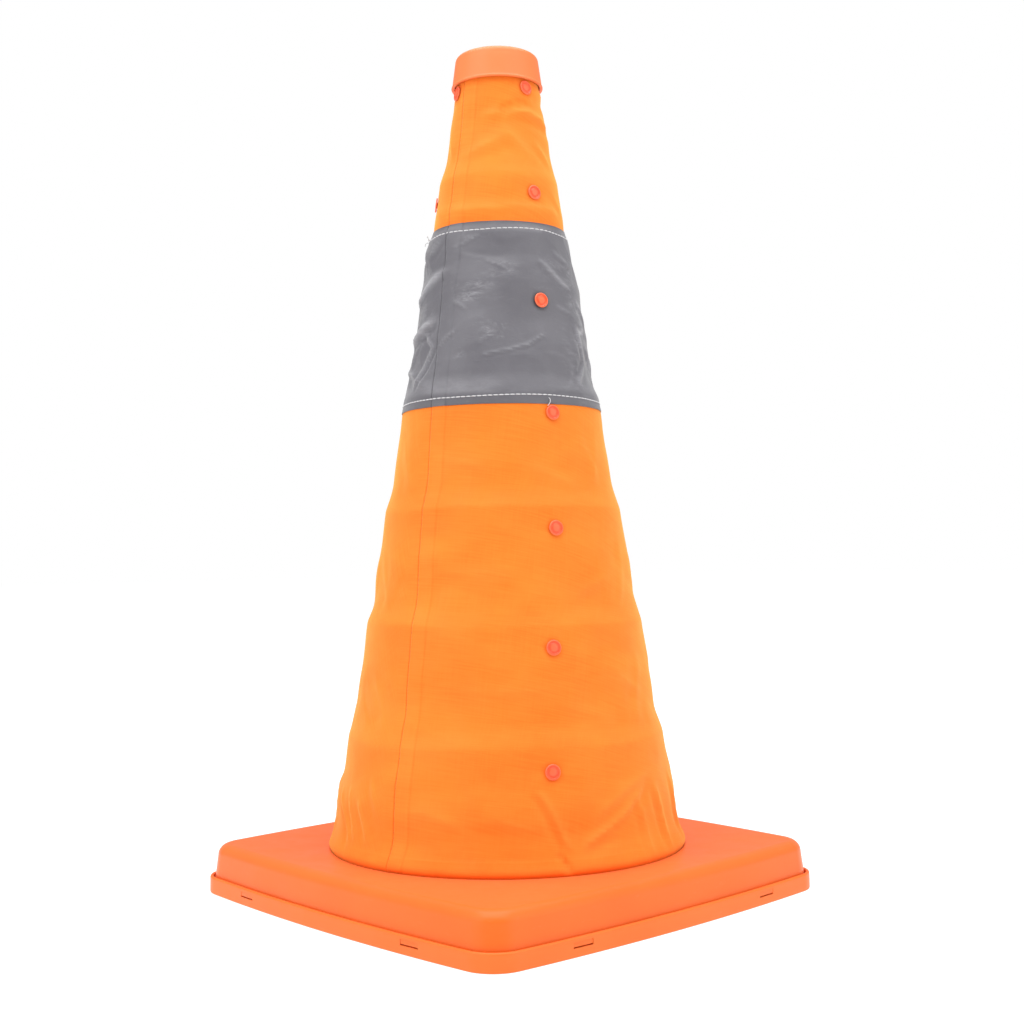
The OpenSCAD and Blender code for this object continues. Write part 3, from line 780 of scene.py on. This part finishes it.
def cloth_shape(az, w):
    """How far the cloth stands off its profile, and its painted highlight and painted shade marks."""
    r = np.interp(w, W, WR)
    z = np.interp(w, W, WZ)
    a = np.radians(az)
    x, y = r * np.cos(a), r * np.sin(a)
    top_z, top_r = ring_below(z)
    depth = top_z - z
    free = plateau(depth, 4, 26, 50, 65)
    hem = smooth(44, 34, z)
    broad = BROAD(x, y, z)
    d = free * (0.55 * broad + 0.32 * MIDDLE(x, y, z) + 0.10) + 0.05 * SMALL(x, y, z)
    d += free * 0.5 * smooth(0.25, 1.2, MIDDLE(x * 1.4, y * 1.4, z * 0.7 + 90))
    d = d * (1 - 0.7 * hem)
    painted_highlight = np.zeros_like(z)
    for f in FOLDS:
        shape, crest = fold(az, z, r, *f)
        d += 1.25 * shape * (0.35 + 0.65 * np.maximum(free, hem))
        # Painted highlight along each fold's crest
        painted_highlight += 0.55 * f[5] * crest
    shade = np.zeros_like(z)
    inside = plateau(z, BAND_LOW - 1, BAND_LOW + 6, BAND_TOP - 7, BAND_TOP)
    if inside.max() > 0:
        extra = np.zeros_like(z)
        for f in CREASES:
            shape, crest = fold(az, z, r, *f)
            extra += shape
            # Painted highlight along the band's creases
            painted_highlight += 0.45 * f[5] * crest ** 2 * inside
        side = 0.35 + 0.65 * smooth(22, 58, np.abs(wrap(az)))
        crumple = 0.45 - 0.62 * np.abs(FACETS(x, y, z)) - 0.34 * np.abs(FACETS2(x, y, z))
        extra += 2.3 * side * crumple
        net = np.exp(-(LINES(x, y, z) / 0.05) ** 2) * smooth(0.1, 0.9, WHERE(x, y, z))
        # Painted highlight along a net of fine lines on the band
        painted_highlight += inside * 0.16 * net
        d += inside * extra * (0.75 + 0.25 * free)
        # The tape is stiffer than the cloth, so it steps out to the next ring more gently
        centre = 0.55 + 0.45 * (1 - smooth(35, 62, np.abs(wrap(az))))
        for i in (3, 4):
            up = z - RING_Z[i]
            d += inside * centre * 2.3 * plateau(up, -2, 14, 14, 60)
    # The cloth bags out above the band, and dives to its edge, with painted shade along the dive
    d += 0.5 * bump(z, BAND_TOP + 8, 5) - 0.15 * bump(z, BAND_TOP + 1, 2.5)
    shade += 0.55 * bump(z, BAND_TOP + 0.5, 1.8)
    d += 0.7 * bump(z, 456, 13)
    # A little painted highlight where the cloth turns up over each ring's edge, and painted shade on the
    # wall just below it
    for i in range(2, RINGS + 1):
        if i != BAND_RING:
            up = z - RING_Z[i] + 1.6 * broad
            some = 0.35 + 0.65 * smooth(-0.5, 0.7, MIDDLE(x * 0.7, y * 0.7, z * 0.4 + 31))
            painted_highlight += 0.28 * some * plateau(up, -1.6, 1.8, 4, 12)
            shade += 0.24 * some * plateau(up, 1.2, -1.8, -8, -26)
    # The sewn seam: a groove with the allowance lying flat on one side of it, painted shade in the
    # groove and along the allowance's edge, and a painted highlight on the allowance
    s = np.radians(wrap(az - seam_az(z))) * r
    near = np.abs(s) < 30
    pull = 0.05 * np.sin(z * 2 * math.pi / 6.5) * bump(s, 0, 5)
    seam = (-0.40 * bump(s, 0, 0.34) + 0.34 * plateau(s, 0.2, 1.1, 9.4, 10.7)
            + 0.12 * bump(s, 1.2, 0.7) + 0.10 * plateau(s, -3, -0.6, -0.6, 0) + pull)
    d += np.where(near, seam, 0)
    shade += np.where(near, 0.8 * bump(s, 0, 0.26)
                             + 0.3 * (1 - 0.8 * inside) * bump(s, 10.4, 0.45), 0)
    painted_highlight += np.where(near, 0.14 * (1 - inside) * plateau(s, 0.6, 1.4, 9.2, 10.2), 0)
    # Rivets pull the cloth down onto the ring and pucker it; a painted shadow rings each head
    for i, turn in RIVETS:
        zr = RING_Z[i] - RIVET_DROP
        u = np.radians(wrap(az - turn)) * r
        v = z - zr
        rho = np.hypot(u, v)
        close = rho < 24
        pucker = np.cos(5 * np.arctan2(v, u) + i) * bump(rho, 7.5, 3.5) * 0.13
        d = np.where(close, d * (1 - bump(rho, 0, 7.5)) - 0.10 * bump(rho, 0, 5) + pucker, d)
        shade += np.where(close, 0.8 * bump(rho, 4.3, 1.1), 0)
    # The cloth never sinks into the ring under it
    wall = top_r + TAPER * np.maximum(depth, 0)
    room = np.where(z > HEM_TOP_Z, r - FABRIC_T - wall - 0.12, 1.3)
    room = np.clip(room, 0.25, 0.25 + 1.55 * (1 - smooth(48, 65, depth)))
    soft = 0.12
    d = -room + soft * np.logaddexp(0, (d + room) / soft)
    # Notch where the hem was gathered, with painted shade in it, and the hem settles into the mouth,
    # painted darker with shade towards the base
    shape, crest = fold(az, z, r, 15.8, 40, 18.5, 30, 1.3, -1.5, -0.5)
    d += shape
    shade += 0.5 * crest
    into = smooth(29.6, 28.4, z)
    d = d * (1 - into)
    shade += 0.6 * smooth(33.5, 29.5, z)
    return d, np.clip(painted_highlight, 0, 1), np.clip(shade, 0, 1)


def cloth(az, w, offset=0.0):
    """Points of the cloth's outside for arrays of azimuth and distance down the profile."""
    az, w = np.broadcast_arrays(np.asarray(az, float), np.asarray(w, float))
    d, painted_highlight, shade = cloth_shape(az, w)
    d = d + offset
    r, z = np.interp(w, W, WR), np.interp(w, W, WZ)
    nr, nz = -np.interp(w, W, DZ), np.interp(w, W, DR)
    a = np.radians(FRONT + az)
    rad = r + nr * d
    return np.stack([rad * np.cos(a), rad * np.sin(a), z + nz * d], -1), painted_highlight, shade


NEAR_SEAM = [-8, -6, -4.5, -3.2, -2.2, -1.4, -0.9, -0.6, -0.35, -0.15, 0, 0.15, 0.35, 0.6, 0.9, 1.3,
             2, 3.2, 4.8, 6.5, 8, 9, 9.5, 9.9, 10.3, 10.8, 11.6, 13]
FAR_COLUMNS = 250
SIN_CONE = math.sin(math.atan(STEP / PITCH))


def columns(w):
    """Azimuths of the grid's columns on each row: close together beside the seam, even elsewhere."""
    r = np.interp(w, W, WR)[:, None]
    z = np.interp(w, W, WZ)[:, None]
    near = np.array(NEAR_SEAM)[None, :] + 0 * r
    start, end = NEAR_SEAM[-1], 2 * math.pi * r - (-NEAR_SEAM[0])
    far = start + (end - start) * (np.arange(1, FAR_COLUMNS + 1) / (FAR_COLUMNS + 1))[None, :]
    s = np.concatenate([near, far], 1)
    return seam_az(z) + np.degrees(s / r)


def sideways(az, w, offset, eps):
    """The step across the cloth from eps on one side of a point to eps on the other."""
    da = np.degrees(eps / np.interp(w, W, WR))
    return cloth(az + da, w, offset)[0] - cloth(az - da, w, offset)[0]


def grid_normals(az, w, offset):
    eps = 0.25
    right = sideways(az, w, offset, eps)
    lo = np.clip(w - eps, 0, W_MAX)
    hi = np.clip(w + eps, 0, W_MAX)
    down = cloth(az, hi, offset)[0] - cloth(az, lo, offset)[0]
    n = np.cross(down, right)
    return n / np.maximum(np.linalg.norm(n, axis=-1, keepdims=True), 1e-9)


def cloth_shell(name, w_rows, offset, thickness):
    """A closed thin shell of cloth between the first and last of w_rows."""
    w_rows = np.asarray(w_rows, float)
    az = columns(w_rows)
    w = np.broadcast_to(w_rows[:, None], az.shape)
    outer, painted_highlight, shade = cloth(az, w, offset)
    normal = grid_normals(az, w, offset)
    inner = outer - normal * thickness
    rows, cols = az.shape
    count = rows * cols
    verts = np.concatenate([outer.reshape(-1, 3), inner.reshape(-1, 3)])
    quads = np.array(loop_faces(rows, cols))
    out_f, in_f = quads[:, [0, 3, 2, 1]], quads[:, [1, 2, 3, 0]] + count
    k = np.arange(cols)
    n = (k + 1) % cols
    low = (rows - 1) * cols
    top_f = np.stack([k, n, count + n, count + k], -1)
    low_f = np.stack([low + n, low + k, count + low + k, count + low + n], -1)
    faces = np.concatenate([out_f, in_f, top_f, low_f])
    obj = mesh_piece(name, verts, faces.tolist())
    mesh = obj.data
    # The weave lies on the cone rolled out flat; one more column ends it at the seam
    rho = np.interp(w, W, WR) / SIN_CONE
    fan = np.radians(az - az[:, :1].min()) * SIN_CONE
    rho = np.concatenate([rho, rho[:, :1]], 1)
    fan = np.concatenate([fan, fan[:, :1] + 2 * math.pi * SIN_CONE], 1)
    row, col = np.divmod(faces.ravel() % count, cols)
    span = col.reshape(-1, 4)
    wraps = (span.max(1) == cols - 1) & (span.min(1) == 0)
    col = np.where(np.repeat(wraps, 4) & (col == 0), cols, col)
    uv = np.stack([rho * np.sin(fan), rho * np.cos(fan)], -1)[row, col] * MM
    mesh.uv_layers.new(name="weave").data.foreach_set("uv", uv.astype(np.float32).ravel())
    both = np.concatenate([normal.reshape(-1, 3), -normal.reshape(-1, 3)])
    mesh.normals_split_custom_set_from_vertices(both.tolist())
    # Marks for the materials: rubbed wear with painted light patches, a painted highlight, and painted
    # shade
    rub = sum(bump(wrap(az - a0), 0, wa) * bump(np.interp(w, W, WZ), z0, wz) for a0, z0, wa, wz in RUBS_AND_LIGHT_PATCHES)
    for word, marks in (("rub", np.clip(rub, 0, 1)), ("painted_highlight", painted_highlight), ("shade", shade)):
        point_attribute(mesh, word, np.tile(marks.ravel(), 2))
    return obj


def rows_between(z_top, z_low, step):
    """Heights from z_top down to z_low, closer together around the ridges."""
    zs = set(np.round(np.linspace(z_top, z_low, max(2, int(round((z_top - z_low) / step)) + 1)), 3))
    for i in range(2, RINGS + 1):
        for dz in (-3.5, -2.2, -1.2, -0.5, 0, 0.5, 1.2, 2.2, 3.5):
            z = round(RING_Z[i] + dz, 3)
            if z_low + 0.3 < z < z_top - 0.3:
                zs = {x for x in zs if abs(x - z) > 0.45 or x in (z_top, z_low)} | {z}
    return sorted(zs, reverse=True)


def bend(obj):
    """Bakes the piece's placement into its mesh."""
    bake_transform(obj)


def make_sleeves():
    for i in range(1, RINGS + 1):
        top = RING_Z[i] - 0.2 if i == 1 else RING_Z[i]
        low = HEM_TOP_Z if i == RINGS else RING_Z[i + 1]
        ws = list(w_at(rows_between(top, low, 2.0)))
        if i == 1:
            ws[0] = 0.0
        if i == RINGS:
            ws += list(np.arange(ws[-1] + 0.7, W_MAX - 0.3, 0.7)) + [W_MAX]
        piece = cloth_shell("fabric_sleeve_%d" % i, ws, 0.0, FABRIC_T)
        dress(piece, "fabric")
        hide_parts("sleeve_%d" % i, *(["hem"] if i == RINGS else []))
        bend(piece)


BAND_PIECES = [("upper", 2, BAND_TOP, RING_Z[3]), ("middle", 3, RING_Z[3], RING_Z[4]),
               ("lower", 4, RING_Z[4], BAND_LOW)]
BAND_LIFT = 0.40


def make_band():
    for word, i, top, low in BAND_PIECES:
        ws = w_at(rows_between(top, low, 1.4))
        piece = cloth_shell("reflective_band_%s" % word, ws, BAND_LIFT, 0.36)
        dress(piece, "band")
        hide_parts("band_%s" % word)
        bend(piece)


# ---- stitches
def stitch_parts(points, normals, tangents, length, radius, sink):
    """Short thread capsules that dive into the cloth at both ends."""
    ring = 6
    stations = [(-0.5, 0.35, -0.9), (-0.42, 0.85, -0.25), (-0.2, 1.0, 0.35), (0.0, 1.0, 0.5),
                (0.2, 1.0, 0.35), (0.42, 0.85, -0.25), (0.5, 0.35, -0.9)]
    side = np.cross(normals, tangents)
    verts, faces = [], []
    for p, nn, t, s in zip(points, normals, tangents, side):
        first = len(verts)
        for along, fat, up in stations:
            centre = p + t * along * length + nn * (up * radius - sink)
            for k in range(ring):
                a = 2 * math.pi * k / ring
                verts.append(centre + radius * fat * (s * math.cos(a) + nn * math.sin(a)))
        faces += rod_faces(len(stations), ring, first)
    return np.array(verts), faces


def tube(points, radius, ring=6):
    """A thin thread along points, tapered at its ends."""
    pts = np.array(points, float)
    t = np.gradient(pts, axis=0)
    t /= np.linalg.norm(t, axis=1)[:, None]
    verts = []
    ref = np.array([0.3, 0.5, 0.8])
    for i, (p, d) in enumerate(zip(pts, t)):
        a = np.cross(d, ref)
        a /= np.linalg.norm(a)
        b = np.cross(d, a)
        fat = radius * (0.6 if i in (0, len(pts) - 1) else 1.0)
        for k in range(ring):
            q = 2 * math.pi * k / ring
            verts.append(p + fat * (a * math.cos(q) + b * math.sin(q)))
    return np.array(verts), rod_faces(len(pts), ring)


def surface_frame(az, w, offset):
    """Points, normals and sideways tangents on the cloth."""
    p = cloth(az, w, offset)[0]
    n = grid_normals(az, w, offset)
    t = sideways(az, w, offset, 0.3)
    t /= np.linalg.norm(t, axis=-1, keepdims=True)
    return p, n, t


def free_thread(az, z, path):
    """A loose thread end: path is (sideways, up, outward) steps from a point on the band."""
    p, n, t = (q[0] for q in surface_frame(np.array([az], float), np.atleast_1d(w_at(z)), BAND_LIFT))
    up = np.cross(n, t)
    up = up if up[2] > 0 else -up
    return [p + t * a + up * b + n * c for a, b, c in path]


def sew(name, part, look):
    bend(dress(mesh_piece(name, *part), look))


# Loose thread ends: azimuth, height above the stitches, radius, path
THREADS = {
    "upper": [(-86, 1.5, 0.28, [(-0.8, 0.4, 1.2), (-0.6, 1.2, 2.4), (0.6, 1.6, 3.0)]),
              (-86, 0.5, 0.28, [(-0.5, -0.6, 1.4), (-1.2, -1.6, 2.2), (-1.8, -3.0, 2.0)]),
              (-85, 0.0, 0.26, [(0.4, 1.0, 1.0), (0.2, 2.2, 1.8), (-0.6, 3.0, 2.4)])],
    "lower": [(26.7, -1.0, 0.22, [(0.5, -1.2, 0.7), (0.3, -2.8, 0.9), (-0.6, -4.2, 0.6),
                                  (-1.4, -5.0, 0.9)])],
}


def make_band_stitches():
    pitch, length = 3.1, 3.2
    for word, i, z in (("upper", 2, BAND_TOP - 5.0), ("lower", 4, BAND_LOW + 4.6)):
        w = float(w_at(z))
        r = float(np.interp(w, W, WR))
        count = int(2 * math.pi * r / pitch)
        az = np.arange(count) * 360.0 / count
        drift = 0.35 * np.sin(np.radians(az * 2 + 40)) + 0.2 * np.sin(np.radians(az * 5))
        p, n, t = surface_frame(az, w - drift, BAND_LIFT)
        parts = [stitch_parts(p, n, t, length, 0.32, 0.10)]
        for at, up, radius, path in THREADS[word]:
            parts.append(tube(free_thread(at, z + up, [(0, 0, 0)] + path), radius))
        sew("band_stitches_%s" % word, joined(parts), "stitch")


def make_seam_stitches():
    pitch, length = 2.6, 1.9
    for i in range(1, RINGS + 1):
        top = RING_Z[i] - (8.0 if i == 1 else 0.8)
        low = 33.0 if i == RINGS else RING_Z[i + 1] + 0.8
        zs = np.arange(top, low, -pitch)
        zs = zs[(zs > BAND_TOP + 1) | (zs < BAND_LOW - 1)]
        if not len(zs):
            continue
        w = w_at(zs)
        az = seam_az(zs)
        p, n, t = surface_frame(az, w, 0.0)
        down = np.cross(n, t)
        sew("seam_stitches_%d" % i, stitch_parts(p, n, down, length, 0.13, 0.05), "seam")


# ---- rivets
def rivet_profile(head):
    """Tail inside the ring, shank, and a head with a round outer ring about a low dome."""
    tail = [(0, -2.82), (2.45, -2.82), (2.78, -2.7), (2.9, -2.45), (2.9, -2.05), (1.8, -2.02)]
    under = [(1.8, head), (4.0, head)]
    rim = []
    for a in np.linspace(-60, 150, 12):
        ra = math.radians(a)
        rim.append((3.70 + 0.60 * math.cos(ra), head + 0.45 + 0.45 * math.sin(ra)))
    dome = [(3.2, head + 0.66), (2.95, head + 0.52), (2.7, head + 0.50), (2.5, head + 0.60),
            (2.2, head + 0.80), (1.7, head + 0.90), (0.9, head + 0.96), (0, head + 0.98)]
    return tail + under + rim + dome


def make_rivets():
    lean = math.atan(TAPER)
    for i in range(1, RINGS + 1):
        head = 1.06 + (0.45 if i == BAND_RING else 0.0)
        base_v, base_f = lathe(rivet_profile(head), 40)
        radial = np.hypot(base_v[:, 0], base_v[:, 1])
        # Painted highlight on the rounded outer lip and the top of the dome
        rim = (smooth(3.5, 4.0, radial) + 0.6 * smooth(2.3, 1.6, radial)) * (base_v[:, 2] > head + 0.1)
        parts = []
        for turn in rivets_of(i):
            a = math.radians(FRONT + turn)
            axis = (math.cos(a) * math.cos(lean), math.sin(a) * math.cos(lean), math.sin(lean))
            r = ring_r(i) + TAPER * RIVET_DROP
            origin = (r * math.cos(a), r * math.sin(a), RING_Z[i] - RIVET_DROP)
            parts.append(placed((base_v, base_f), axis, origin))
        piece = mesh_piece("rivet_heads_%d" % i, *joined(parts), sharp=50)
        point_attribute(piece.data, "rim", np.tile(rim, len(parts)))
        dress(piece, "rivet")
        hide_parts("rivets_%d" % i)
        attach(piece, "ring_%d" % i)


# ---- build everything
for make, look, slot, node, body in ((make_tray, "rim", "base_plastic", "base_tray", "base"),
                                     (make_cover, "base", "base_plastic", "base_cover", "base"),
                                     (make_cap, "cap", "cap_plastic", "cap", "ring_1")):
    piece = dress(make(), look)
    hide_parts(node)
    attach(piece, body)
make_sleeves()
make_band()
make_band_stitches()
make_seam_stitches()
make_rivets()
inner_names = ["ring_%d" % i for i in range(1, RINGS + 1)] + ["hem_clamp_ring"]
for look, names in (("inner", inner_names), ("steel", ["clamp_screws", "base_screws"])):
    for name in names:
        for place in nodes[name].material_slots:
            place.material = MAT[look]


# ---- floor, light and camera
def floor_material():
    n = Nodes("studio_floor_white")
    here = n.coords()
    tone = n.span(n.noise(here, 3, 2), 0.3, 0.7)
    base = n.mix(tone, (0.33, 0.33, 0.33), (0.35, 0.35, 0.35))
    n.shader.inputs["Emission Color"].default_value = (1, 1, 1, 1)
    n.shader.inputs["Emission Strength"].default_value = 0.86
    return n.finish(base, 0.8, None, Specular_IOR_Level=0.1)


def make_floor():
    size, steps = 12.0, 8
    line = np.linspace(-size, size, steps + 1)
    verts = [(x / MM, y / MM, -0.05) for y in line for x in line]
    n = steps + 1
    faces = [(j * n + i, j * n + i + 1, (j + 1) * n + i + 1, (j + 1) * n + i)
             for j in range(steps) for i in range(steps)]
    obj = mesh_piece("studio_floor", verts, faces)
    obj.data.materials.append(floor_material())


def area_light(name, location, target, size, power):
    data = bpy.data.lights.new(name, "AREA")
    data.shape = "RECTANGLE"
    data.size, data.size_y = size
    data.energy = power
    obj = added(name, data)
    obj.location = location
    obj.rotation_euler = (Vector(target) - Vector(location)).to_track_quat("-Z", "Y").to_euler()


make_floor()
world = bpy.data.worlds.new("studio")
world.use_nodes = True
scene.world = world


def light_world(tree, horizon, zenith, seen):
    """White all round; what lights the cone is dimmer than what is seen, and brighter overhead."""
    n = Nodes(tree=tree)
    background = tree.nodes["Background"]
    background.inputs["Color"].default_value = (1.0, 1.0, 1.0, 1.0)
    split = n.new("ShaderNodeSeparateXYZ")
    n.wire(n.new("ShaderNodeTexCoord").outputs["Generated"], split.inputs[0])
    height = n.math("MAXIMUM", split.outputs[2], 0.0)
    light = n.math("ADD", n.times(height, zenith - horizon), horizon)
    looked_at = n.new("ShaderNodeLightPath").outputs["Is Camera Ray"]
    extra = n.times(looked_at, n.math("SUBTRACT", seen, light))
    n.wire(n.math("ADD", light, extra), background.inputs["Strength"])


light_world(world.node_tree, 0.25, 0.52, 1.0)
scene.view_settings.view_transform = "Standard"
scene.view_settings.look = "None"

middle = (0, 0, 0.24)
area_light("soft_left", (-1.6, 0.35, 0.9), middle, (1.4, 1.6), 10.2)
area_light("soft_right", (0.65, -1.6, 0.8), middle, (1.4, 1.6), 9.4)
area_light("soft_top", (-0.15, -0.15, 1.6), middle, (1.8, 1.8), 32)

CAM_AT = Vector((-0.580, -0.632, 0.1952))
CAM_PITCH = math.radians(1.808)
CAM_HEADING = math.atan2(0.737, 0.676) - 0.0066
CAM_ROLL = math.radians(-0.8)
ahead, rise = math.cos(CAM_PITCH), math.sin(CAM_PITCH)
forward = Vector((math.cos(CAM_HEADING) * ahead, math.sin(CAM_HEADING) * ahead, rise))
cam_data = bpy.data.cameras.new("photo_view")
cam_data.lens = 50.63
cam_data.sensor_width = 36.0
cam_data.clip_start, cam_data.clip_end = 0.01, 60.0
camera = added("photo_view", cam_data)
turn = forward.to_track_quat("-Z", "Y").to_matrix().to_4x4()
camera.matrix_world = Matrix.Translation(CAM_AT) @ turn @ Matrix.Rotation(CAM_ROLL, 4, "Z")
scene.camera = camera

bpy.context.view_layer.update()
